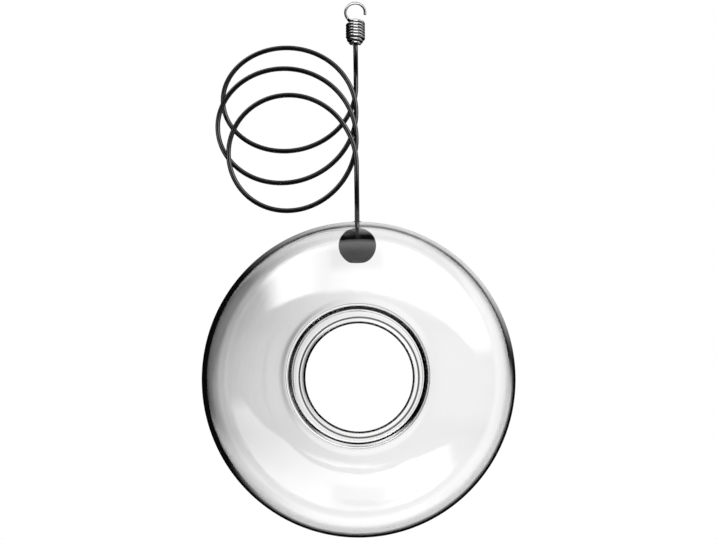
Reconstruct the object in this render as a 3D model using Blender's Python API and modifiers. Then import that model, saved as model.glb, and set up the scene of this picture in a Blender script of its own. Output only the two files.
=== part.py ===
# Hanging bird feeder: a blown glass body with a round mouth in front and behind, carried by a
# rubber ball plug on a rubber cord that lies in three loops below a bent wire hook.
# Metres, +Z up, +Y to the back. The origin is the point inside the hook's ring that it hangs on.

import math

import bpy
from mathutils import Vector
from mathutils.geometry import interpolate_bezier

# General clearances
FIT_GAP = 0.0003  # between two pieces that touch on the real feeder
CORD_JOINT_GAP = 0.0003  # between two stretches of the one cord

# Glass body, turned about the front to back axis
GLASS_RADIUS = 0.100
GLASS_BULGE = 0.060  # half depth of the whole oval that the mouths open
GLASS_WALL = 0.0034
MOUTH_RADIUS = 0.0380  # clear radius of both mouths
LIP_BEND = 0.0066  # outer radius of the bend that turns each lip inwards
LIP_RUN = 0.0010  # straight stretch of lip before its rounded end
HOLE_RADIUS = 0.00295  # drilled hole at the top

# Cord
CORD_DIAMETER = 0.0032
CORD_DROP = 0.1207  # from the mouth of the hook's coil down to the top of the glass
LOOP_TURNS = 3
LOOP_HALF_WIDTHS = (0.0447, 0.0460, 0.0420)  # first, middle and last loop, from the hook
LOOP_HALF_HEIGHTS = (0.0399, 0.0438, 0.0438)
LOOP_FALL = 0.0185  # each turn lies this much lower than the one before
LOOP_STEP = 0.0046  # and this much nearer the front
FIRST_LOOP_DROP = 0.0282  # from the coil's mouth down to the middle of the first loop
LOOP_POINTS = 24  # to a turn

# Ball plug
PLUG_RADIUS = 0.0122
PLUG_FLAT_DROP = 0.0108  # from the ball's centre down to its flat underside
PLUG_RIM = 0.0011  # rubber left around the recess in the flat
PLUG_RECESS = 0.0072  # depth of the recess for the washer and the ferrule
WASHER_THICKNESS = 0.0010
FERRULE_LENGTH = 0.0050
PLUG_FERRULE_WALL = 0.0014

# Grommet in the hole
GROMMET_WALL = 0.0005
GROMMET_PROUD = 0.0003  # stands this far above the glass

# Hook, one bent wire
WIRE_DIAMETER = 0.00155
RING_RADIUS = 0.0066  # to the middle of the wire
RING_START = 215.0  # degrees in the ring's own plane, where the wire comes up from the coil
RING_END = -13.0  # degrees, the ring's free end
COIL_RADIUS = 0.0056  # to the middle of the wire
COIL_PITCH = 0.0020
COIL_TURNS = 7
COIL_LAST_ANGLE = 250.0  # degrees seen from above, where the wire leaves the coil for the ring
COIL_TAPER_TURNS = 2
COIL_POINTS = 10  # to a turn
COIL_TO_RING = 0.0076  # from the ring's centre down to the top turn
COIL_THROAT_GAP = 0.0005  # between the narrow end of the coil and the cord
HOOK_FERRULE_LENGTH = 0.0060
HOOK_FERRULE_GAP = 0.0005  # between the ferrule and the coil around it
SWING_GAP = 0.00075  # lets the cord swing under its captive end

# Smoothness of turned pieces
GLASS_STEPS = 48
PLUG_STEPS = 32
SMALL_STEPS = 24

# Heights that follow from the sizes above
CORD_RADIUS = CORD_DIAMETER / 2
WIRE_RADIUS = WIRE_DIAMETER / 2
BORE_RADIUS = CORD_RADIUS + FIT_GAP
RING_Z = WIRE_RADIUS - RING_RADIUS
COIL_TOP_Z = RING_Z - COIL_TO_RING
COIL_WINDINGS = COIL_TURNS + (360.0 - COIL_LAST_ANGLE) / 360.0
COIL_BOTTOM_Z = COIL_TOP_Z - COIL_PITCH * COIL_WINDINGS
COIL_MOUTH_Z = COIL_BOTTOM_Z - WIRE_RADIUS
COIL_THROAT_RADIUS = CORD_RADIUS + COIL_THROAT_GAP + WIRE_RADIUS
HOOK_FERRULE_RADIUS = COIL_RADIUS - WIRE_RADIUS - HOOK_FERRULE_GAP
HOOK_FERRULE_Z = COIL_BOTTOM_Z + COIL_TAPER_TURNS * COIL_PITCH + WIRE_RADIUS
SWING_Z = COIL_MOUTH_Z - SWING_GAP
LOOP_Z = COIL_MOUTH_Z - FIRST_LOOP_DROP
GLASS_TOP_Z = COIL_MOUTH_Z - CORD_DROP
GLASS_Z = GLASS_TOP_Z - GLASS_RADIUS
INNER_RADIUS = GLASS_RADIUS - GLASS_WALL
INNER_BULGE = GLASS_BULGE - GLASS_WALL
HOLE_EDGE_Z = GLASS_Z + INNER_RADIUS * math.sqrt(1 - (HOLE_RADIUS / INNER_BULGE) ** 2)
PLUG_Z = HOLE_EDGE_Z - math.sqrt((PLUG_RADIUS + FIT_GAP) ** 2 - HOLE_RADIUS ** 2)
PLUG_FLAT_RADIUS = math.sqrt(PLUG_RADIUS ** 2 - PLUG_FLAT_DROP ** 2)
RECESS_RADIUS = PLUG_FLAT_RADIUS - PLUG_RIM
SHOULDER_Z = PLUG_Z - PLUG_FLAT_DROP + PLUG_RECESS
WASHER_Z = SHOULDER_Z - FIT_GAP - WASHER_THICKNESS
PLUG_FERRULE_Z = WASHER_Z - FIT_GAP - FERRULE_LENGTH

COLLECTION = "bird_feeder"
CUTTERS = "bird_feeder_cutters"


def clear_scene():
    for old in list(bpy.data.objects):
        bpy.data.objects.remove(old, do_unlink=True)
    for name in (COLLECTION, CUTTERS):
        bpy.context.scene.collection.children.link(bpy.data.collections.new(name))


def make_material(name, colour, roughness, metallic):
    material = bpy.data.materials.new(name)
    material.use_nodes = True
    shader = material.node_tree.nodes["Principled BSDF"]
    shader.inputs["Base Color"].default_value = (*colour, 1.0)
    shader.inputs["Roughness"].default_value = roughness
    shader.inputs["Metallic"].default_value = metallic
    material.diffuse_color = (*colour, 1.0)
    return material


def add_object(name, data, material, parent=None, location=(0.0, 0.0, 0.0)):
    piece = bpy.data.objects.new(name, data)
    bpy.data.collections[COLLECTION].objects.link(piece)
    data.materials.append(material)
    piece.parent = parent
    piece.location = location
    return piece


def add_pivot(name, height):
    pivot = bpy.data.objects.new(name, None)
    bpy.data.collections[COLLECTION].objects.link(pivot)
    pivot.location = (0.0, 0.0, height)
    pivot.empty_display_size = 0.01
    return pivot


# A closed outline of (radius, height) pairs that runs down its outer side, turned about Z
def turned(name, outline, steps, material, parent=None, height=0.0):
    mesh = bpy.data.meshes.new(name)
    verts = [(radius, 0.0, level) for radius, level in outline]
    edges = [(k, (k + 1) % len(verts)) for k in range(len(verts))]
    mesh.from_pydata(verts, edges, [])
    piece = add_object(name, mesh, material, parent, (0.0, 0.0, height))
    screw = piece.modifiers.new("turn", "SCREW")
    screw.axis = "Z"
    screw.angle = math.tau
    screw.steps = steps
    screw.render_steps = steps
    screw.use_merge_vertices = True
    screw.merge_threshold = 0.00001
    screw.use_smooth_shade = True
    return piece


def sleeve(name, inner, outer, length, steps, material, parent, height):
    outline = [(outer, length), (outer, 0.0), (inner, 0.0), (inner, length)]
    return turned(name, outline, steps, material, parent, height)


def tube(name, points, diameter, resolution, material, parent=None):
    origin = parent.location if parent else Vector()
    curve = bpy.data.curves.new(name, "CURVE")
    curve.dimensions = "3D"
    curve.bevel_depth = diameter / 2
    curve.bevel_resolution = resolution
    curve.use_fill_caps = True
    spline = curve.splines.new("POLY")
    spline.points.add(len(points) - 1)
    for place, point in zip(spline.points, points):
        place.co = (*(point - origin), 1.0)
    return add_object(name, curve, material, parent)


def arc(centre, radius, first, last, count):
    angles = [first + (last - first) * k / count for k in range(count + 1)]
    return [(centre[0] + radius * math.cos(a), centre[1] + radius * math.sin(a)) for a in angles]


def oval_point(angle):
    return GLASS_RADIUS * math.cos(angle), GLASS_BULGE * math.sin(angle)


def oval_normal(angle):
    across = math.cos(angle) / GLASS_RADIUS
    along = math.sin(angle) / GLASS_BULGE
    size = math.hypot(across, along)
    return across / size, along / size


# The place on the oval where the lip's bend leaves it without a kink
def lip_angle():
    low = 0.0
    high = math.pi / 2
    for _ in range(60):
        middle = (low + high) / 2
        centre = oval_point(middle)[0] - LIP_BEND * oval_normal(middle)[0]
        if centre > MOUTH_RADIUS + LIP_BEND:
            low = middle
        else:
            high = middle
    return low


# The glass wall from the front lip over the outside to the rear lip and back along the inside
def glass_outline():
    start = lip_angle()
    normal = oval_normal(start)
    edge = oval_point(start)
    centre = (edge[0] - LIP_BEND * normal[0], edge[1] - LIP_BEND * normal[1])
    turn = math.atan2(normal[1], normal[0])
    end_level = centre[1] - LIP_RUN
    end_centre = (MOUTH_RADIUS + GLASS_WALL / 2, end_level)
    outer = arc(centre, LIP_BEND, math.pi, turn, 7)
    inner = arc(centre, LIP_BEND - GLASS_WALL, turn, math.pi, 5)
    tip = arc(end_centre, GLASS_WALL / 2, math.tau, math.pi, 4)
    sides = 18
    angles = [start - 2 * start * k / sides for k in range(1, sides)]
    outside = [oval_point(a) for a in angles]
    inside = []
    for a in reversed(angles):
        point = oval_point(a)
        away = oval_normal(a)
        inside.append((point[0] - GLASS_WALL * away[0], point[1] - GLASS_WALL * away[1]))
    front = inner + tip + outer
    rear = [(radius, -level) for radius, level in reversed(front)]
    return outside + rear + inside + front


def make_glass(material, pivot):
    glass = turned("glass_bowl", glass_outline(), GLASS_STEPS, material, pivot)
    glass.location = (0.0, 0.0, GLASS_Z - pivot.location.z)
    glass.rotation_euler = (math.pi / 2, 0.0, 0.0)
    bpy.ops.mesh.primitive_cylinder_add(
        vertices=SMALL_STEPS, radius=HOLE_RADIUS, depth=4 * GLASS_WALL,
        location=(0.0, 0.0, GLASS_TOP_Z - GLASS_WALL / 2))
    drill = bpy.context.object
    drill.name = "hole_drill"
    for home in list(drill.users_collection):
        home.objects.unlink(drill)
    bpy.data.collections[CUTTERS].objects.link(drill)
    drill.hide_render = True
    drill.display_type = "WIRE"
    hole = glass.modifiers.new("hole", "BOOLEAN")
    hole.operation = "DIFFERENCE"
    hole.solver = "EXACT"
    hole.object = drill
    return glass


def make_grommet(material, pivot):
    outer = HOLE_RADIUS - FIT_GAP
    foot = HOLE_EDGE_Z + FIT_GAP
    length = GLASS_TOP_Z + GROMMET_PROUD - foot
    height = foot - pivot.location.z
    return sleeve("hole_grommet", outer - GROMMET_WALL, outer, length, SMALL_STEPS, material, pivot, height)


# A ball with a flat underside, a bore for the cord and a recess for what holds it
def make_plug(material, pivot):
    top = math.asin(BORE_RADIUS / PLUG_RADIUS)
    flat = math.acos(-PLUG_FLAT_DROP / PLUG_RADIUS)
    outline = arc((0.0, 0.0), PLUG_RADIUS, math.pi / 2 - top, math.pi / 2 - flat, 18)
    shoulder = PLUG_RECESS - PLUG_FLAT_DROP
    outline += [
        (RECESS_RADIUS, -PLUG_FLAT_DROP),
        (RECESS_RADIUS, shoulder),
        (BORE_RADIUS, shoulder)]
    return turned("ball_plug", outline, PLUG_STEPS, material, pivot, PLUG_Z - pivot.location.z)


# A value that eases from one loop's size to the next
def eased(values, turn):
    place = min(max(turn - 0.5, 0.0), len(values) - 1.0)
    first = min(int(place), len(values) - 2)
    share = place - first
    share = share * share * (3 - 2 * share)
    return values[first] + (values[first + 1] - values[first]) * share


# The loops run down from the hook: right, bottom, left, top, and a step to the front each turn
def loop_point(turn):
    angle = math.tau * turn
    width = eased(LOOP_HALF_WIDTHS, turn)
    tall = eased(LOOP_HALF_HEIGHTS, turn)
    depth = LOOP_STEP * (LOOP_TURNS / 2 - turn)
    level = LOOP_Z - LOOP_FALL * turn - tall * math.sin(angle)
    return Vector((-width * (1 - math.cos(angle)), depth, level))


# A stretch that leaves one end and meets the other straight up and down
def s_bend(upper, lower, count):
    reach = Vector((0.0, 0.0, 0.45 * (upper.z - lower.z)))
    return interpolate_bezier(upper, upper - reach, lower + reach, lower, count)


# The least distance between two far stretches of one tube, less its diameter
def least_gap(points, diameter):
    samples = []
    along = []
    length = 0.0
    for first, second in zip(points, points[1:]):
        parts = max(1, round((second - first).length / (diameter / 3)))
        for k in range(parts):
            samples.append(first.lerp(second, k / parts))
            along.append(length + (second - first).length * k / parts)
        length += (second - first).length
    least = length
    for k, sample in enumerate(samples):
        for j in range(k + 1, len(samples)):
            if along[j] - along[k] > 3 * diameter:
                least = min(least, (samples[j] - sample).length)
    return least - diameter


def path_length(points):
    return sum((second - first).length for first, second in zip(points, points[1:]))


def make_cord(material, head_pivot, swing_pivot):
    up = Vector((0.0, 0.0, 1.0))
    first = loop_point(0.0)
    last = loop_point(LOOP_TURNS)
    turns = [loop_point(k / LOOP_POINTS) for k in range(LOOP_TURNS * LOOP_POINTS + 1)]
    loops = [first + up * CORD_DIAMETER] + turns + [last - up * CORD_DIAMETER]
    gap = least_gap(loops, CORD_DIAMETER)
    print("cord_loops least gap to itself: %.2f mm" % (gap * 1000))
    tube("cord_loops", loops, CORD_DIAMETER, 1, material, swing_pivot)

    swing = Vector((0.0, 0.0, SWING_Z))
    tail_foot = loops[0] + up * CORD_JOINT_GAP
    tail = [swing] + s_bend(swing - up * CORD_RADIUS, tail_foot + up * CORD_RADIUS, 9) + [tail_foot]
    tube("cord_tail", tail, CORD_DIAMETER, 2, material, swing_pivot)

    lead_head = loops[-1] - up * CORD_JOINT_GAP
    lead_out = Vector((0.0, 0.0, GLASS_TOP_Z + 2 * CORD_DIAMETER))
    lead_foot = Vector((0.0, 0.0, PLUG_FERRULE_Z))
    lead = [lead_head] + s_bend(lead_head - up * CORD_RADIUS, lead_out, 11)
    lead += [Vector((0.0, 0.0, GLASS_TOP_Z)), Vector((0.0, 0.0, PLUG_Z)), lead_foot]
    tube("cord_lead", lead, CORD_DIAMETER, 2, material, swing_pivot)

    end = [Vector((0.0, 0.0, HOOK_FERRULE_Z + HOOK_FERRULE_LENGTH)), Vector((0.0, 0.0, COIL_MOUTH_Z))]
    tube("cord_end", end, CORD_DIAMETER, 2, material, head_pivot)
    total = path_length(loops) + path_length(tail) + path_length(lead) + path_length(end)
    print("cord length: %.3f m" % total)


def make_hook(material):
    count = round(COIL_WINDINGS * COIL_POINTS)
    coil = []
    for k in range(count + 1):
        turn = COIL_WINDINGS * k / count
        share = min(1.0, turn / COIL_TAPER_TURNS)
        radius = COIL_THROAT_RADIUS + (COIL_RADIUS - COIL_THROAT_RADIUS) * share
        angle = -math.tau * turn
        level = COIL_BOTTOM_Z + COIL_PITCH * turn
        coil.append(Vector((radius * math.cos(angle), radius * math.sin(angle), level)))
    sweep = 40
    ring = []
    for k in range(sweep + 1):
        angle = math.radians(RING_START + (RING_END - RING_START) * k / sweep)
        ring.append(Vector((RING_RADIUS * math.cos(angle), 0.0, RING_Z + RING_RADIUS * math.sin(angle))))
    leave = (coil[-1] - coil[-2]).normalized()
    meet = (ring[1] - ring[0]).normalized()
    reach = 0.45 * (ring[0] - coil[-1]).length
    rise = interpolate_bezier(coil[-1], coil[-1] + leave * reach, ring[0] - meet * reach, ring[0], 9)
    wire = coil + rise[1:-1] + ring
    print("hook_spring least gap to itself: %.2f mm" % (least_gap(wire, WIRE_DIAMETER) * 1000))
    return tube("hook_spring", wire, WIRE_DIAMETER, 1, material)


def build():
    clear_scene()
    glass = make_material("clear_glass", (0.90, 0.92, 0.92), 0.02, 0.0)
    rubber = make_material("grey_rubber", (0.065, 0.065, 0.065), 0.6, 0.0)
    black = make_material("black_rubber", (0.012, 0.012, 0.013), 0.5, 0.0)
    cord = make_material("cord_rubber", (0.012, 0.012, 0.013), 0.45, 0.0)
    steel = make_material("stainless_wire", (0.62, 0.62, 0.61), 0.2, 1.0)
    zinc = make_material("zinc_steel", (0.55, 0.56, 0.57), 0.35, 1.0)

    head_pivot = add_pivot("head_pivot", HOOK_FERRULE_Z)
    swing_pivot = add_pivot("swing_pivot", SWING_Z)
    plug_pivot = add_pivot("plug_pivot", PLUG_Z)

    make_hook(steel)
    make_cord(cord, head_pivot, swing_pivot)
    sleeve("hook_ferrule", BORE_RADIUS, HOOK_FERRULE_RADIUS, HOOK_FERRULE_LENGTH,
           SMALL_STEPS, zinc, head_pivot, 0.0)
    sleeve("plug_ferrule", BORE_RADIUS, BORE_RADIUS + PLUG_FERRULE_WALL, FERRULE_LENGTH,
           SMALL_STEPS, zinc, swing_pivot, PLUG_FERRULE_Z - SWING_Z)
    sleeve("plug_washer", BORE_RADIUS, RECESS_RADIUS - FIT_GAP, WASHER_THICKNESS,
           SMALL_STEPS, zinc, plug_pivot, WASHER_Z - PLUG_Z)
    make_plug(rubber, plug_pivot)
    make_glass(glass, plug_pivot)
    make_grommet(black, plug_pivot)
    print("lowest point: %.4f m" % (GLASS_Z - GLASS_RADIUS))


build()
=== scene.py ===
import math

import bpy
from mathutils import Euler, Matrix, Vector
from mathutils.geometry import interpolate_bezier


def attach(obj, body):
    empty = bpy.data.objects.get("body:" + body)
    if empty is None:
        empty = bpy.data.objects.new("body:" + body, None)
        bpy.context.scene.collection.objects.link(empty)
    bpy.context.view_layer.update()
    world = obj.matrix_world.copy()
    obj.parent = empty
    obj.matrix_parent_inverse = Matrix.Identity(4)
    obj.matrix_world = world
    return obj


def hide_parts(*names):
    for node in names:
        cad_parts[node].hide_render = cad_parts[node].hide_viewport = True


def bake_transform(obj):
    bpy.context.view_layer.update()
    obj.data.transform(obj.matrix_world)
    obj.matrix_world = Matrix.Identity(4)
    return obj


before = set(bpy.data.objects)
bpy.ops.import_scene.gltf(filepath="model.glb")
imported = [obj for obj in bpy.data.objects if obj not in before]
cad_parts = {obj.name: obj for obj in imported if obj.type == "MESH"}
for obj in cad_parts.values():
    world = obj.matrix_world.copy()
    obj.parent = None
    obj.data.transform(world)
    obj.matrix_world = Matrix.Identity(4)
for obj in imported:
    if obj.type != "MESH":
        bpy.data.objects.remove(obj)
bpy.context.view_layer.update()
print("frame loaded:", sorted(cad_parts))

# heights on the hanging axis
level = {
    "ring": -0.005825,        # centre of the hook's ring
    "coilBottom": -0.028036,  # middle of the wire, narrow end
    "coilMouth": -0.028811,
    "hookFerrule": -0.023261,
    "swing": -0.029561,       # where the cord bends under the hook
    "firstLoop": -0.0548,
    "glassTop": -0.149511,
    "glass": -0.249511,       # centre of the glass
    "holeEdge": -0.153042,
    "plug": -0.165189,        # centre of the ball
    "plugFerrule": -0.175389,
}
axisUp = Vector((0, 0, 1))


# small helpers for work by hand
def deselectAll():
    if bpy.context.object and bpy.context.object.mode != "OBJECT":
        bpy.ops.object.mode_set(mode="OBJECT")
    bpy.ops.object.select_all(action="DESELECT")


def onlyActive(piece):
    deselectAll()
    piece.select_set(True)
    bpy.context.view_layer.objects.active = piece


def applyPlace(piece):
    onlyActive(piece)
    bpy.ops.object.transform_apply(location=True, rotation=True, scale=True)


def smoothByAngle(piece, degrees):
    onlyActive(piece)
    bpy.ops.object.shade_smooth_by_angle(angle=math.radians(degrees))


def cleanMesh(piece, distance=0.000002):
    onlyActive(piece)
    bpy.ops.object.mode_set(mode="EDIT")
    bpy.ops.mesh.select_all(action="SELECT")
    bpy.ops.mesh.remove_doubles(threshold=distance)
    bpy.ops.mesh.normals_make_consistent(inside=False)
    bpy.ops.object.mode_set(mode="OBJECT")


# a ring of vertices takes the section's shape, then it is spun about the axis
def spunPiece(name, section, centre, axis, steps):
    deselectAll()
    bpy.ops.mesh.primitive_circle_add(vertices=len(section), radius=0.01)
    piece = bpy.context.object
    piece.name = name
    side = Vector((1, 0, 0))
    along = Vector(axis)
    for vertex, (radius, height) in zip(piece.data.vertices, section):
        vertex.co = Vector(centre) + side * radius + along * height
    bpy.ops.object.mode_set(mode="EDIT")
    bpy.ops.mesh.select_all(action="SELECT")
    bpy.ops.mesh.spin(steps=steps, angle=math.tau, center=centre, axis=axis)
    bpy.ops.object.mode_set(mode="OBJECT")
    cleanMesh(piece)
    return piece


def tubeAlong(name, points, diameter, resolution):
    deselectAll()
    bpy.ops.curve.primitive_bezier_curve_add()
    piece = bpy.context.object
    piece.name = name
    line = piece.data
    line.dimensions = "3D"
    line.bevel_depth = diameter / 2
    line.bevel_resolution = resolution
    line.use_fill_caps = True
    line.splines.clear()
    run = line.splines.new("POLY")
    run.points.add(len(points) - 1)
    for spot, point in zip(run.points, points):
        spot.co = (*point, 1)
    onlyActive(piece)
    bpy.ops.object.convert(target="MESH")
    piece = bpy.context.object
    cleanMesh(piece)
    return piece


def arcPoints(centre, radius, first, last, count):
    turns = [math.radians(first + (last - first) * k / count) for k in range(count + 1)]
    return [(centre[0] + radius * math.cos(a), centre[1] + radius * math.sin(a)) for a in turns]


# camera
cameraSettings = {
    "right": 0.0045,   # from the middle of the glass
    "back": 0.588,
    "below": 0.0065,
    "lens": 45.85,
    "up": 7.28,        # degrees
    "left": 0.41,
    "roll": -0.52,
}


def makeCamera(s):
    bpy.ops.object.camera_add(location=(s["right"], -s["back"], level["glass"] - s["below"]))
    camera = bpy.context.object
    camera.name = "photo_camera"
    aim = Euler((math.radians(90 + s["up"]), 0, math.radians(s["left"]))).to_matrix()
    aim = aim @ Matrix.Rotation(math.radians(s["roll"]), 3, "Z")
    camera.rotation_euler = aim.to_euler()
    camera.data.lens = s["lens"]
    camera.data.sensor_width = 36
    camera.data.clip_start = 0.01
    bpy.context.scene.camera = camera


makeCamera(cameraSettings)
print("camera set")


# node helpers
def addNode(tree, kind, **values):
    node = tree.nodes.new(kind)
    for key, value in values.items():
        setattr(node, key, value)
    return node


def feed(tree, socket, value):
    if isinstance(value, bpy.types.NodeSocket):
        tree.links.new(value, socket)
    else:
        socket.default_value = value


def calc(tree, operation, first, second=0.0, third=0.0):
    node = addNode(tree, "ShaderNodeMath", operation=operation)
    for socket, value in zip(node.inputs, (first, second, third)):
        feed(tree, socket, value)
    return node.outputs[0]


def remap(tree, value, low, high, toLow=0.0, toHigh=1.0):
    node = addNode(tree, "ShaderNodeMapRange", interpolation_type="SMOOTHSTEP")
    feed(tree, node.inputs["Value"], value)
    for key, number in zip(("From Min", "From Max", "To Min", "To Max"), (low, high, toLow, toHigh)):
        feed(tree, node.inputs[key], number)
    return node.outputs["Result"]


def newMaterial(name):
    material = bpy.data.materials.new(name)
    material.use_nodes = True
    tree = material.node_tree
    return material, tree, tree.nodes["Principled BSDF"]


def giveMaterial(piece, material):
    piece.data.materials.clear()
    piece.data.materials.append(material)


# shared effect: moulding grain, a slow change of tone and specks of dust
def makeGrainGroup():
    group = bpy.data.node_groups.new("rubberGrain", "ShaderNodeTree")
    for name, kind in (("Base", "NodeSocketColor"), ("Worn", "NodeSocketColor"),
                       ("Grain Scale", "NodeSocketFloat"), ("Tone Scale", "NodeSocketFloat"),
                       ("Dust", "NodeSocketFloat"), ("Gloss", "NodeSocketFloat")):
        group.interface.new_socket(name, in_out="INPUT", socket_type=kind)
    for name, kind in (("Color", "NodeSocketColor"), ("Roughness", "NodeSocketFloat"),
                       ("Height", "NodeSocketFloat")):
        group.interface.new_socket(name, in_out="OUTPUT", socket_type=kind)
    inlet = addNode(group, "NodeGroupInput")
    outlet = addNode(group, "NodeGroupOutput")
    place = addNode(group, "ShaderNodeTexCoord").outputs["Object"]

    def noise(scale, detail):
        node = addNode(group, "ShaderNodeTexNoise")
        feed(group, node.inputs["Vector"], place)
        feed(group, node.inputs["Scale"], scale)
        feed(group, node.inputs["Detail"], detail)
        return node.outputs["Fac"]

    grain = noise(inlet.outputs["Grain Scale"], 3.0)
    tone = noise(inlet.outputs["Tone Scale"], 4.0)
    toneMask = remap(group, tone, 0.35, 0.7)
    speck = addNode(group, "ShaderNodeTexVoronoi")
    feed(group, speck.inputs["Vector"], place)
    feed(group, speck.inputs["Scale"], 900.0)
    speckMask = remap(group, speck.outputs["Distance"], 0.16, 0.05)
    speckMask = calc(group, "MULTIPLY", speckMask, inlet.outputs["Dust"])
    mix = addNode(group, "ShaderNodeMix", data_type="RGBA")
    feed(group, mix.inputs["Factor"], toneMask)
    feed(group, mix.inputs["A"], inlet.outputs["Base"])
    feed(group, mix.inputs["B"], inlet.outputs["Worn"])
    dusty = addNode(group, "ShaderNodeMix", data_type="RGBA")
    feed(group, dusty.inputs["Factor"], speckMask)
    group.links.new(mix.outputs["Result"], dusty.inputs["A"])
    dusty.inputs["B"].default_value = (0.32, 0.31, 0.29, 1)
    group.links.new(dusty.outputs["Result"], outlet.inputs["Color"])
    rough = calc(group, "MULTIPLY_ADD", toneMask, 0.12, inlet.outputs["Gloss"])
    rough = calc(group, "MULTIPLY_ADD", grain, 0.06, rough)
    group.links.new(rough, outlet.inputs["Roughness"])
    group.links.new(grain, outlet.inputs["Height"])
    return group


grainGroup = makeGrainGroup()


def rubberMaterial(name, s):
    material, tree, shader = newMaterial(name)
    node = addNode(tree, "ShaderNodeGroup", node_tree=grainGroup)
    for key, value in (("Base", (*s["colour"], 1)), ("Worn", (*s["worn"], 1)),
                       ("Grain Scale", s["grain"]), ("Tone Scale", s["tone"]),
                       ("Dust", s["dust"]), ("Gloss", s["roughness"])):
        node.inputs[key].default_value = value
    tree.links.new(node.outputs["Color"], shader.inputs["Base Color"])
    tree.links.new(node.outputs["Roughness"], shader.inputs["Roughness"])
    bump = addNode(tree, "ShaderNodeBump")
    bump.inputs["Strength"].default_value = s["bump"]
    bump.inputs["Distance"].default_value = s["bumpDepth"]
    tree.links.new(node.outputs["Height"], bump.inputs["Height"])
    tree.links.new(bump.outputs["Normal"], shader.inputs["Normal"])
    shader.inputs["IOR"].default_value = s["ior"]
    return material


# cord, one length of rubber from the plug to the hook
cordSettings = {
    "diameter": 0.0032,
    "turns": 3,
    "halfWidths": (0.0447, 0.0460, 0.0420),   # first, middle and last loop from the hook
    "halfHeights": (0.0399, 0.0438, 0.0433),
    "fall": 0.0194,     # a turn
    "step": 0.0046,     # towards the front, a turn
    "turnPoints": 96,
    "ferrule": 0.006,   # length inside the hook
    "bendAbove": 0.0015,  # where the bend starts, over the coil's mouth
    "bendBelow": 0.007,   # where it ends, under the swing's axis
    "bendLean": 0.85,
    "colour": (0.0015, 0.0018, 0.0017),
    "worn": (0.0030, 0.0036, 0.0034),
    "grain": 1800.0, "tone": 55.0, "dust": 0.01,
    "roughness": 0.24, "bump": 0.006, "bumpDepth": 0.0002, "ior": 1.45,
}


def easedSize(sizes, turn):
    place = min(max(turn - 0.5, 0.0), len(sizes) - 1.0)
    first = min(int(place), len(sizes) - 2)
    share = place - first
    share = share * share * (3 - 2 * share)
    return sizes[first] + (sizes[first + 1] - sizes[first]) * share


def loopPoint(s, turn):
    angle = math.tau * turn
    wide = easedSize(s["halfWidths"], turn)
    tall = easedSize(s["halfHeights"], turn)
    depth = s["step"] * (s["turns"] / 2 - turn)
    height = level["firstLoop"] - s["fall"] * turn - tall * math.sin(angle)
    return Vector((-wide * (1 - math.cos(angle)), depth, height))


def straightBend(upper, lower, count):
    reach = axisUp * 0.45 * (upper.z - lower.z)
    return interpolate_bezier(upper, upper - reach, lower + reach, lower, count)


def cordRoute(s):
    d = s["diameter"]
    count = s["turns"] * s["turnPoints"]
    loops = [loopPoint(s, k / s["turnPoints"]) for k in range(count + 1)]
    tailFoot = loops[0] + axisUp * d
    leadHead = loops[-1] - axisUp * d
    swing = axisUp * level["swing"]
    hookEnd = axisUp * (level["hookFerrule"] + s["ferrule"])
    down = [hookEnd.lerp(swing, k / 10) for k in range(10)]
    down += straightBend(swing - axisUp * d / 2, tailFoot + axisUp * d / 2, 36)
    down += loops
    leadOut = axisUp * (level["glassTop"] + 2 * d)
    down += straightBend(leadHead - axisUp * d / 2, leadOut, 40)
    plugEnd = axisUp * level["plugFerrule"]
    down += [leadOut.lerp(plugEnd, k / 16) for k in range(1, 17)]
    return list(reversed(down))


def makeCord(s):
    route = cordRoute(s)
    cord = tubeAlong("rubber_cord", route, s["diameter"], 5)
    onlyActive(cord)
    bpy.ops.object.shade_smooth()
    giveMaterial(cord, rubberMaterial("satinCordRubber", s))
    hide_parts("cord_lead", "cord_loops", "cord_tail", "cord_end")
    length = sum((b - a).length for a, b in zip(route, route[1:]))
    print("cord: %.3f m on %d points" % (length, len(route)))
    return cord, route, length


cord, cordPath, cordLength = makeCord(cordSettings)


# glass body
glassSettings = {
    "radius": 0.100,
    "bulge": 0.060,     # half depth of the whole oval
    "wall": 0.0034,
    "mouth": 0.0380,    # clear radius
    "lipBend": 0.0066,
    "lipRun": 0.0010,
    "frontLip": 0.0034,  # thickness at the edge
    "rearLip": 0.0009,
    "rearMouth": 0.0371,
    "frontRidge": 0.0005,
    "shoulder": 0.455,   # step inside the rear lip, as a share of its bend
    "stepRun": 0.05,
    "stepThins": 0.45,   # share of the lip's thinning that the step takes
    "thinFrom": 0.55,
    "ridgeFrom": 0.05,
    "ridgeRun": 0.072,   # past the shoulder
    "hole": 0.00285,
    "drill": 0.012,
    "sides": 100,       # points along one side of the wall
    "steps": 256,
    "tint": (0.998, 0.996, 0.996),
    "ior": 1.5,
    "ripple": 0.00006,
    "rippleScale": (120.0, 60.0, 4.0),  # outwards, along the depth and round the glass
    # colour and width of the painted shade line in the rear lip's crease
    "creaseShade": (0.02, 0.02, 0.02),
    "creaseShadeWidth": (0.00080, 0.00060),
}


def ovalPoint(s, angle):
    return s["radius"] * math.cos(angle), s["bulge"] * math.sin(angle)


def ovalNormal(s, angle):
    across = math.cos(angle) / s["radius"]
    along = math.sin(angle) / s["bulge"]
    size = math.hypot(across, along)
    return across / size, along / size


def lipAngle(s, mouth):
    low, high = 0.0, math.pi / 2
    for _ in range(60):
        middle = (low + high) / 2
        reach = ovalPoint(s, middle)[0] - s["lipBend"] * ovalNormal(s, middle)[0]
        if reach > mouth + s["lipBend"]:
            low = middle
        else:
            high = middle
    return low


def eased(value, low, high):
    share = min(max((value - low) / (high - low), 0.0), 1.0)
    return share * share * (3 - 2 * share)


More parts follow.
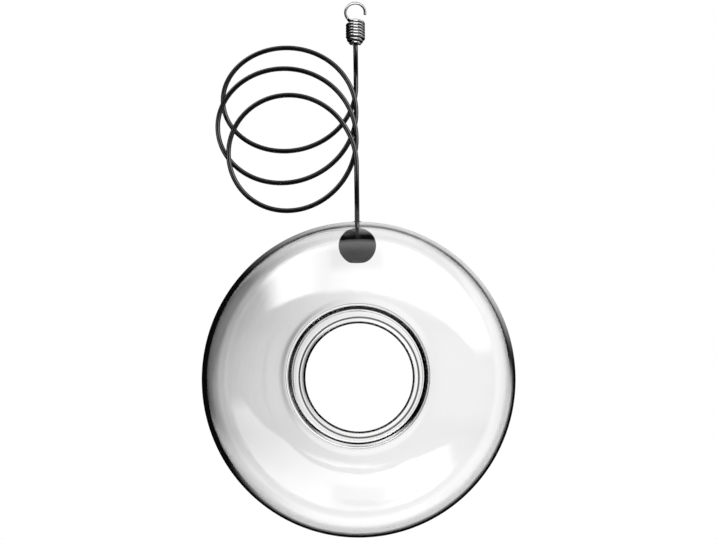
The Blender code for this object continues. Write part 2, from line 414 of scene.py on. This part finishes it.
# centre of a lip's bend, and the direction in which the bend begins
def lipBase(s, mouth):
    start = lipAngle(s, mouth)
    normal = ovalNormal(s, start)
    edge = ovalPoint(s, start)
    centre = (edge[0] - s["lipBend"] * normal[0], edge[1] - s["lipBend"] * normal[1])
    return centre, math.degrees(math.atan2(normal[1], normal[0]))


# one mouth's lip, from inside the wall round the edge to the outside
def lipSection(s, mouth, thickness, ridge):
    centre, turn = lipBase(s, mouth)
    bend, wall, shoulder = s["lipBend"], s["wall"], s["shoulder"]
    lip = []
    closer = [shoulder + s["ridgeRun"] * k / 12 for k in range(13)]
    for share in sorted([k / 20 for k in range(21)] + closer):
        thin = s["stepThins"] * eased(share, shoulder, shoulder + s["stepRun"])
        thin += (1 - s["stepThins"]) * eased(share, s["thinFrom"], 1.0)
        swell = eased(share, s["ridgeFrom"], shoulder)
        swell *= 1 - eased(share, shoulder, shoulder + s["ridgeRun"])
        reach = bend - wall + (wall - thickness) * thin + ridge * swell
        lip += arcPoints(centre, reach, turn + (180 - turn) * share, 180, 1)[:1]
    tipCentre = (mouth + thickness / 2, centre[1] - s["lipRun"])
    lip += arcPoints(tipCentre, thickness / 2, 360, 180, 12)
    lip += arcPoints(centre, bend, 180, turn, 22)
    return lip


def glassSection(s):
    first = lipAngle(s, s["mouth"])
    last = lipAngle(s, s["rearMouth"])
    angles = [first - (first + last) * k / s["sides"] for k in range(1, s["sides"])]
    outside = [ovalPoint(s, a) for a in angles]
    inside = []
    for a in reversed(angles):
        point, away = ovalPoint(s, a), ovalNormal(s, a)
        inside.append((point[0] - s["wall"] * away[0], point[1] - s["wall"] * away[1]))
    rearLip = reversed(lipSection(s, s["rearMouth"], s["rearLip"], 0.0))
    rear = [(radius, -height) for radius, height in rearLip]
    return outside + rear + inside + lipSection(s, s["mouth"], s["frontLip"], s["frontRidge"])


def glassMaterial(s):
    material, tree, shader = newMaterial("blownGlass")
    place = addNode(tree, "ShaderNodeTexCoord").outputs["Object"]
    slow = addNode(tree, "ShaderNodeTexNoise")
    feed(tree, slow.inputs["Vector"], place)
    slow.inputs["Scale"].default_value = 14.0
    slow.inputs["Detail"].default_value = 1.0
    ramp = addNode(tree, "ShaderNodeMix", data_type="RGBA")
    feed(tree, ramp.inputs["Factor"], slow.outputs["Fac"])
    ramp.inputs["A"].default_value = (*s["tint"], 1)
    ramp.inputs["B"].default_value = (1, 1, 1, 1)
    shader.inputs["Transmission Weight"].default_value = 1.0
    shader.inputs["Roughness"].default_value = 0.0
    shader.inputs["IOR"].default_value = s["ior"]
    # faint waves from blowing, drawn out along the turning of the glass
    spot = addNode(tree, "ShaderNodeSeparateXYZ")
    feed(tree, spot.inputs[0], place)
    across, deep, up = spot.outputs
    up = calc(tree, "SUBTRACT", up, level["glass"])
    wave = addNode(tree, "ShaderNodeCombineXYZ")
    radius = calc(tree, "SQRT", calc(tree, "MULTIPLY_ADD", across, across, calc(tree, "MULTIPLY", up, up)))
    about = calc(tree, "ARCTAN2", across, up)
    for socket, value, scale in zip(wave.inputs, (radius, deep, about), s["rippleScale"]):
        feed(tree, socket, calc(tree, "MULTIPLY", value, scale))
    ripple = addNode(tree, "ShaderNodeTexNoise")
    tree.links.new(wave.outputs[0], ripple.inputs["Vector"])
    ripple.inputs["Scale"].default_value = 1.0
    ripple.inputs["Detail"].default_value = 2.0
    bump = addNode(tree, "ShaderNodeBump")
    bump.inputs["Strength"].default_value = 1.0
    bump.inputs["Distance"].default_value = s["ripple"]
    tree.links.new(ripple.outputs["Fac"], bump.inputs["Height"])
    tree.links.new(bump.outputs["Normal"], shader.inputs["Normal"])
    # painted shade: a dark grey line painted into the glass's colour in the crease of the rear lip's step,
    # standing in for the dark line that the step's bend shows
    centre, turn = lipBase(s, s["rearMouth"])
    reach = s["lipBend"] - s["wall"] + (s["wall"] - s["rearLip"]) * s["stepThins"] / 2
    creaseShade = arcPoints(centre, reach, turn + (180 - turn) * (s["shoulder"] + s["stepRun"] / 2), 180, 1)[0]
    aside = calc(tree, "SUBTRACT", radius, creaseShade[0])
    behind = calc(tree, "SUBTRACT", deep, creaseShade[1])
    behind = calc(tree, "MULTIPLY", behind, behind)
    away = calc(tree, "SQRT", calc(tree, "MULTIPLY_ADD", aside, aside, behind))
    line = addNode(tree, "ShaderNodeMix", data_type="RGBA")
    feed(tree, line.inputs["Factor"], remap(tree, away, *s["creaseShadeWidth"]))
    tree.links.new(ramp.outputs["Result"], line.inputs["A"])
    line.inputs["B"].default_value = (*s["creaseShade"], 1)
    tree.links.new(line.outputs["Result"], shader.inputs["Base Color"])
    return material


def makeGlass(s):
    glass = spunPiece("glass_body", glassSection(s), (0, 0, level["glass"]), (0, -1, 0), s["steps"])
    deselectAll()
    bpy.ops.mesh.primitive_cylinder_add(vertices=64, radius=s["hole"], depth=s["drill"],
                                        location=(0, 0, level["glassTop"] - s["wall"] / 2))
    drill = bpy.context.object
    onlyActive(glass)
    hole = glass.modifiers.new("hole", "BOOLEAN")
    hole.operation = "DIFFERENCE"
    hole.solver = "EXACT"
    hole.object = drill
    bpy.ops.object.modifier_apply(modifier="hole")
    bpy.data.objects.remove(drill, do_unlink=True)
    smoothByAngle(glass, 50)
    giveMaterial(glass, glassMaterial(s))
    glass.visible_shadow = False
    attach(glass, "glass")
    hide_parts("glass_bowl")
    print("glass:", len(glass.data.polygons), "faces")
    return glass


glass = makeGlass(glassSettings)


# rubber ball plug under the hole
plugSettings = {
    "radius": 0.0122,
    "flatDrop": 0.0108,
    "recess": 0.004575,      # radius of the recess in the flat
    "recessDepth": 0.0072,
    "edge": 0.0004,          # rounding of the flat's edge
    "colour": (0.003, 0.003, 0.003),
    "worn": (0.005, 0.005, 0.005),
    "grain": 2200.0, "tone": 130.0, "dust": 0.01,
    "roughness": 0.50, "bump": 0.12, "bumpDepth": 0.0002, "ior": 1.10,
}


def makePlug(s):
    deselectAll()
    bpy.ops.mesh.primitive_uv_sphere_add(segments=96, ring_count=64, radius=s["radius"],
                                         location=(0, 0, level["plug"]))
    plug = bpy.context.object
    plug.name = "rubber_ball"
    applyPlace(plug)
    flat = level["plug"] - s["flatDrop"]
    bpy.ops.object.mode_set(mode="EDIT")
    bpy.ops.mesh.select_all(action="SELECT")
    bpy.ops.mesh.bisect(plane_co=(0, 0, flat), plane_no=(0, 0, 1), clear_inner=True, use_fill=True)
    bpy.ops.object.mode_set(mode="OBJECT")
    for face in plug.data.polygons:
        face.select = face.normal.z < -0.99 and abs(face.center.z - flat) < 0.00001
    bpy.ops.object.mode_set(mode="EDIT")
    bpy.ops.mesh.select_mode(type="FACE")
    flatRadius = math.sqrt(s["radius"] ** 2 - s["flatDrop"] ** 2)
    bpy.ops.mesh.inset(thickness=flatRadius - s["recess"])
    bpy.ops.mesh.extrude_region_move(TRANSFORM_OT_translate={"value": (0, 0, s["recessDepth"])})
    bpy.ops.object.mode_set(mode="OBJECT")
    rim = plug.modifiers.new("roundedEdges", "BEVEL")
    rim.width = s["edge"]
    rim.segments = 3
    rim.limit_method = "ANGLE"
    rim.angle_limit = math.radians(40)
    onlyActive(plug)
    bpy.ops.object.modifier_apply(modifier="roundedEdges")
    cleanMesh(plug)
    smoothByAngle(plug, 35)
    giveMaterial(plug, rubberMaterial("mouldedBallRubber", s))
    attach(plug, "plug")
    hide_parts("ball_plug")
    return plug


plug = makePlug(plugSettings)


# collar in the hole
collarSettings = {
    "outer": 0.00290, "inner": 0.00232, "proud": 0.0006, "round": 0.00020,
    "lift": 0.0003,   # of its foot over the hole's lower edge
    "colour": (0.004, 0.004, 0.0042),
    "worn": (0.007, 0.007, 0.007),
    "grain": 3000.0, "tone": 300.0, "dust": 0.02,
    "roughness": 0.45, "bump": 0.1, "bumpDepth": 0.0002, "ior": 1.5,
}


def makeCollar(s):
    foot = level["holeEdge"] + s["lift"]
    top = level["glassTop"] + s["proud"]
    r = s["round"]
    section = arcPoints((s["outer"] - r, top - r), r, 90, 0, 5)
    section += arcPoints((s["outer"] - r, foot + r), r, 0, -90, 5)
    section += arcPoints((s["inner"] + r, foot + r), r, 270, 180, 5)
    section += arcPoints((s["inner"] + r, top - r), r, 180, 90, 5)
    collar = spunPiece("hole_collar", section, (0, 0, 0), (0, 0, 1), 64)
    smoothByAngle(collar, 60)
    giveMaterial(collar, rubberMaterial("collarRubber", s))
    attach(collar, "glass")
    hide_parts("hole_grommet")
    return collar


collar = makeCollar(collarSettings)
print("plug and collar made")


# wire hook
hookSettings = {
    "wire": 0.00185,
    "ringRadius": 0.0066, "ringStart": 215.0, "ringEnd": -13.0,
    "coilRadius": 0.0056, "throat": 0.002875, "pitch": 0.0020,
    "windings": 7 + 110 / 360, "taper": 2,
    "turnPoints": 48, "ringPoints": 96,
    "colour": (0.62, 0.62, 0.62),
    "dull": (0.52, 0.52, 0.52),
    # edge: dark colour painted as shade on the wire's upper side and outline
    "edge": (0.13, 0.13, 0.135),
    "roughness": 0.22,
    "metal": 1.0,
}


def hookRoute(s):
    count = round(s["windings"] * s["turnPoints"])
    coil = []
    for k in range(count + 1):
        turn = s["windings"] * k / count
        share = min(1.0, turn / s["taper"])
        radius = s["throat"] + (s["coilRadius"] - s["throat"]) * share
        angle = -math.tau * turn
        height = level["coilBottom"] + s["pitch"] * turn
        coil.append(Vector((radius * math.cos(angle), radius * math.sin(angle), height)))
    ring = []
    for k in range(s["ringPoints"] + 1):
        angle = math.radians(s["ringStart"] + (s["ringEnd"] - s["ringStart"]) * k / s["ringPoints"])
        height = level["ring"] + s["ringRadius"] * math.sin(angle)
        ring.append(Vector((s["ringRadius"] * math.cos(angle), 0, height)))
    leave = (coil[-1] - coil[-2]).normalized()
    meet = (ring[1] - ring[0]).normalized()
    reach = 0.45 * (ring[0] - coil[-1]).length
    rise = interpolate_bezier(coil[-1], coil[-1] + leave * reach, ring[0] - meet * reach, ring[0], 30)
    return coil + rise[1:-1] + ring


def wireMaterial(s):
    material, tree, shader = newMaterial("polishedWire")
    place = addNode(tree, "ShaderNodeTexCoord").outputs["Object"]
    noise = addNode(tree, "ShaderNodeTexNoise")
    feed(tree, noise.inputs["Vector"], place)
    noise.inputs["Scale"].default_value = 900.0
    noise.inputs["Detail"].default_value = 4.0
    mask = remap(tree, noise.outputs["Fac"], 0.45, 0.75)
    mix = addNode(tree, "ShaderNodeMix", data_type="RGBA")
    feed(tree, mix.inputs["Factor"], mask)
    mix.inputs["A"].default_value = (*s["colour"], 1)
    mix.inputs["B"].default_value = (*s["dull"], 1)
    # painted shade: the wire's colour turns to the dark edge colour on its upward-facing side and towards
    # its grazing outline
    edge = addNode(tree, "ShaderNodeMix", data_type="RGBA")
    facing = addNode(tree, "ShaderNodeLayerWeight")
    facing.inputs["Blend"].default_value = 0.5
    normal = addNode(tree, "ShaderNodeSeparateXYZ")
    tree.links.new(addNode(tree, "ShaderNodeNewGeometry").outputs["Normal"], normal.inputs[0])
    upper = remap(tree, normal.outputs["Z"], 0.25, 0.75)
    rim = remap(tree, facing.outputs["Facing"], 0.12, 0.50)
    feed(tree, edge.inputs["Factor"], calc(tree, "MAXIMUM", upper, rim))
    tree.links.new(mix.outputs["Result"], edge.inputs["A"])
    edge.inputs["B"].default_value = (*s["edge"], 1)
    tree.links.new(edge.outputs["Result"], shader.inputs["Base Color"])
    rough = calc(tree, "MULTIPLY_ADD", mask, 0.06, s["roughness"])
    tree.links.new(rough, shader.inputs["Roughness"])
    shader.inputs["Metallic"].default_value = s["metal"]
    # painted shade: the dark edge colour also tints the metal's grazing reflection
    shader.inputs["Specular Tint"].default_value = (*s["edge"], 1)
    return material


def makeHook(s):
    hook = tubeAlong("wire_hook", hookRoute(s), s["wire"], 4)
    smoothByAngle(hook, 50)
    giveMaterial(hook, wireMaterial(s))
    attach(hook, "hook")
    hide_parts("hook_spring")
    return hook


hook = makeHook(hookSettings)
print("hook made")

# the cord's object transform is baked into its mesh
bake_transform(cord)


# plated ferrules and washer, hidden in the plug and the hook
platedSettings = {
    # edge: dark colour painted as shade on the upper side and outline
    "colour": (0.52, 0.53, 0.54), "dull": (0.38, 0.39, 0.40), "edge": (0.30, 0.31, 0.32),
    "roughness": 0.3, "metal": 1.0,
}


def makePlated(s):
    material = wireMaterial(s)
    material.name = "zincPlate"
    for name in ("hook_ferrule", "plug_ferrule", "plug_washer"):
        giveMaterial(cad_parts[name], material)


makePlated(platedSettings)


# floor far below the feeder
floorSettings = {"drop": 0.25, "radius": 1.5, "colour": (0.86, 0.86, 0.86)}


def makeFloor(s):
    deselectAll()
    bpy.ops.mesh.primitive_circle_add(vertices=128, radius=s["radius"], fill_type="NGON",
                                      location=(0, 0, level["glass"] - 0.1 - s["drop"]))
    floor = bpy.context.object
    floor.name = "studio_floor"
    applyPlace(floor)
    material, tree, shader = newMaterial("paleFloor")
    shader.inputs["Base Color"].default_value = (*s["colour"], 1)
    shader.inputs["Roughness"].default_value = 0.8
    giveMaterial(floor, material)
    floor.visible_glossy = False
    floor.visible_transmission = False
    return floor


floor = makeFloor(floorSettings)


# lamps
lampSettings = (
    {"name": "topSoftbox", "at": (0.1, -0.25, 0.75), "size": 0.9, "watts": 10.0, "onto": (collar, floor)},
    {"name": "rightSoftbox", "at": (0.8, 0.6, 0.0), "size": 0.3, "watts": 1.5, "onto": (hook,)},
    {"name": "leftSoftbox", "at": (-0.8, -0.6, 0.0), "size": 0.5, "watts": 4.0, "onto": (cord,)},
    {"name": "cordSoftbox", "at": (0.55, -0.55, 0.35), "size": 0.6, "watts": 8.0, "onto": (cord,)},
    {"name": "frontCard", "at": (0.05, -1.05, -0.30), "size": 1.0, "watts": 11.0, "onto": (hook,)},
)


# each lamp lights only the pieces that it is set up for, so that the glass shows none of them
def makeLamps(lamps):
    target = Vector((0, 0, -0.10))
    for s in lamps:
        deselectAll()
        bpy.ops.object.light_add(type="AREA", location=s["at"])
        lamp = bpy.context.object
        lamp.name = s["name"]
        lamp.data.shape = "SQUARE"
        lamp.data.size = s["size"]
        lamp.data.energy = s["watts"]
        lamp.rotation_euler = (target - Vector(s["at"])).to_track_quat("-Z", "Y").to_euler()
        lamp.visible_camera = False
        lit = bpy.data.collections.new(s["name"])
        for piece in s["onto"]:
            lit.objects.link(piece)
        lamp.light_linking.receiver_collection = lit


makeLamps(lampSettings)

# studio around it: a white backdrop, and one big softbox overhead that the glass reflects
studioSettings = {
    "ambient": 0.45,
    "softbox": 2.4,
    "surround": 0.85,
    "rimTop": 0.85,
    "rimFoot": 0.8,
    "rightCard": 0.5,
    "room": 0.003,
    "backdropDark": 0.22,   # the backdrop falls off to the left of each view
    "backdropLeast": 0.25,
    "backdropEnds": 1.10,   # brighter above and below the middle
}


def makeStudio(s):
    world = bpy.data.worlds.new("studio")
    bpy.context.scene.world = world
    world.use_nodes = True
    tree = world.node_tree
    tree.nodes.clear()
    path = addNode(tree, "ShaderNodeLightPath")
    look = addNode(tree, "ShaderNodeSeparateXYZ")
    tree.links.new(addNode(tree, "ShaderNodeTexCoord").outputs["Generated"], look.inputs[0])
    x, y, z = look.outputs
    oneWall = calc(tree, "LESS_THAN", path.outputs["Transmission Depth"], 2.5)
    side = calc(tree, "ABSOLUTE", x)
    tilt = calc(tree, "ABSOLUTE", z)

    # softbox: overhead towards the camera, ending on the left
    rise = calc(tree, "ARCTAN2", calc(tree, "MULTIPLY_ADD", x, 0.157, z), calc(tree, "MULTIPLY", y, -1.0))
    dimmer = remap(tree, rise, 0.95, 1.16)
    dimmer = calc(tree, "MULTIPLY", dimmer, remap(tree, rise, 1.60, 1.30, 0.42, 0.68))
    dimmer = calc(tree, "MULTIPLY", dimmer, remap(tree, side, 0.28, 0.16))
    softbox = calc(tree, "MULTIPLY", remap(tree, rise, 0.73, 0.80), calc(tree, "SUBTRACT", 1.0, dimmer))
    softbox = calc(tree, "MULTIPLY", softbox, remap(tree, rise, 1.655, 1.625))
    softbox = calc(tree, "MULTIPLY", softbox, remap(tree, x, -0.25, -0.50, 1.0, 2.0))
    softbox = calc(tree, "MULTIPLY", softbox, remap(tree, x, -0.78, -0.60))
    softbox = calc(tree, "MULTIPLY", softbox, remap(tree, z, 0.12, 0.30))
    # what the rim of the glass bends into view: the backdrop's top and right, and a pale table below
    outward = calc(tree, "SQRT", calc(tree, "SUBTRACT", 1.0, calc(tree, "MULTIPLY", y, y)))
    fromTop = calc(tree, "ARCTAN2", x, z)
    fromFoot = calc(tree, "ARCTAN2", calc(tree, "MULTIPLY", x, -1.0), calc(tree, "MULTIPLY", z, -1.0))
    rimTop = calc(tree, "MULTIPLY", remap(tree, fromTop, -0.87, 0.10), remap(tree, fromTop, 1.50, 0.80))
    rimTop = calc(tree, "MULTIPLY", rimTop, remap(tree, outward, 0.72, 0.58, 0.10, 1.0))
    rimFoot = calc(tree, "MULTIPLY", remap(tree, fromFoot, 1.05, 0.35), remap(tree, fromFoot, -1.75, -1.40))
    rimFoot = calc(tree, "MULTIPLY", rimFoot, remap(tree, outward, 0.59, 0.74))
    rim = calc(tree, "MULTIPLY", rimTop, s["rimTop"])
    rim = calc(tree, "MULTIPLY_ADD", rimFoot, s["rimFoot"], rim)
    rim = calc(tree, "MULTIPLY", rim, remap(tree, y, 0.45, 0.65))
    rim = calc(tree, "MULTIPLY", rim, oneWall)
    # white surround that glances off the glass near its rim, and a ceiling behind
    start = calc(tree, "SUBTRACT", y, remap(tree, z, 0.50, 0.80, 0.0, 0.26))
    surround = calc(tree, "MULTIPLY", remap(tree, start, 0.0, 0.12), remap(tree, y, 0.50, 0.36))
    surround = calc(tree, "MULTIPLY", surround, remap(tree, x, -0.75, -0.25))
    reach = calc(tree, "MULTIPLY_ADD", oneWall, 0.16, y)
    ceiling = calc(tree, "MULTIPLY", remap(tree, y, 0.26, 0.38), remap(tree, reach, 0.82, 0.74))
    ceiling = calc(tree, "MULTIPLY", ceiling, remap(tree, z, 0.48, 0.62))
    ceiling = calc(tree, "MULTIPLY", ceiling, remap(tree, side, 0.52, 0.30))
    white = calc(tree, "MULTIPLY_ADD", calc(tree, "MAXIMUM", surround, ceiling), s["surround"], rim)
    white = calc(tree, "MULTIPLY", white, calc(tree, "LESS_THAN", path.outputs["Glossy Depth"], 1.5))
    # card on the right, in front of the glass
    card = calc(tree, "MULTIPLY", remap(tree, x, 0.45, 0.75), remap(tree, y, 0.35, 0.05))
    card = calc(tree, "MULTIPLY", card, remap(tree, tilt, 0.45, 0.25))
    studio = calc(tree, "MULTIPLY_ADD", softbox, s["softbox"], s["room"])
    studio = calc(tree, "ADD", studio, white)
    studio = calc(tree, "MULTIPLY_ADD", card, s["rightCard"], studio)

    # backdrop behind the glass, the same for every quarter turn and plainer from above and below
    turn = calc(tree, "ARCTAN2", x, y)
    share = calc(tree, "FRACT", calc(tree, "MULTIPLY_ADD", turn, 4 / math.tau, 0.5))
    bright = remap(tree, share, 0.205, 0.56, s["backdropDark"], 1.0)
    bright = calc(tree, "SUBTRACT", bright, remap(tree, share, 0.86, 0.97, 0.0, 1.0 - s["backdropDark"]))
    dim = calc(tree, "SUBTRACT", 1.0, bright)
    dim = calc(tree, "MULTIPLY", dim, remap(tree, z, -0.02, 0.17, 1.0, 1.6))
    dim = calc(tree, "MULTIPLY", dim, remap(tree, z, -0.17, -0.06, 0.35, 1.0))
    dim = calc(tree, "MULTIPLY", dim, remap(tree, tilt, 0.35, 0.18, 0.25, 1.0))
    backdrop = calc(tree, "MAXIMUM", calc(tree, "SUBTRACT", 1.0, dim), s["backdropLeast"])
    backdrop = calc(tree, "MULTIPLY", backdrop, remap(tree, tilt, 0.05, 0.14, 1.0, s["backdropEnds"]))

    isCamera = path.outputs["Is Camera Ray"]
    isThrough = path.outputs["Is Transmission Ray"]
    # light that refraction alone carries also counts as glossy, so the depth tells it from a reflection
    reflected = calc(tree, "GREATER_THAN", path.outputs["Glossy Depth"], 0.5)

    def choose(factor, no, yes):
        node = addNode(tree, "ShaderNodeMix", data_type="FLOAT")
        feed(tree, node.inputs["Factor"], factor)
        feed(tree, node.inputs["A"], no)
        feed(tree, node.inputs["B"], yes)
        return node.outputs["Result"]

    tone = choose(isThrough, s["ambient"], backdrop)
    tone = choose(reflected, tone, studio)
    tone = choose(isCamera, tone, 1.0)
    sky = addNode(tree, "ShaderNodeBackground")
    sky.inputs["Color"].default_value = (1, 1, 1, 1)
    tree.links.new(tone, sky.inputs["Strength"])
    outlet = addNode(tree, "ShaderNodeOutputWorld")
    tree.links.new(sky.outputs["Background"], outlet.inputs["Surface"])


makeStudio(studioSettings)
bpy.context.scene.view_settings.view_transform = "Standard"
print("studio lit")
